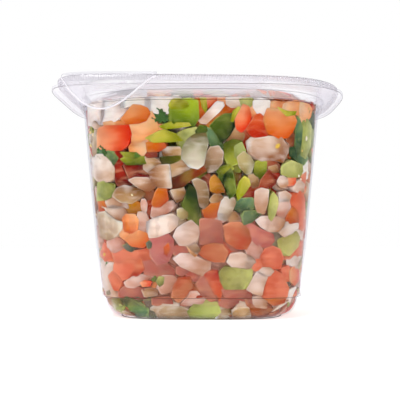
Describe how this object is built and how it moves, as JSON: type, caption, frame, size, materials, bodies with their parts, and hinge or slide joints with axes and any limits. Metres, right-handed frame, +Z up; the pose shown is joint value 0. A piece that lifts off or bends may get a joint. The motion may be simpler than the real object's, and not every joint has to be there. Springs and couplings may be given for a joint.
{
  "type": "tub of pico de gallo",
  "caption": "Clear square tapered tub with a wide flange and a snap-in clear lid with pull tab, filled with diced tomato, onion, green pepper and coriander.",
  "frame": {"origin": "middle of the tub's foot, on the surface it stands on", "axes": "+Z up through the lid, -Y towards the side that the picture shows, with the pull tab at -X, -Y"},
  "size_m": [0.14, 0.1413, 0.1124],
  "materials": {
    "clear_tub": "clear formed plastic sheet, glossy",
    "clear_lid": "clear formed plastic sheet, glossy",
    "diced_vegetables": "wet diced vegetables of mixed colours"
  },
  "bodies": {
    "root": {"tub": "clear_tub", "lid": "clear_lid", "pico_de_gallo": "diced_vegetables"}
  },
  "joints": []
}
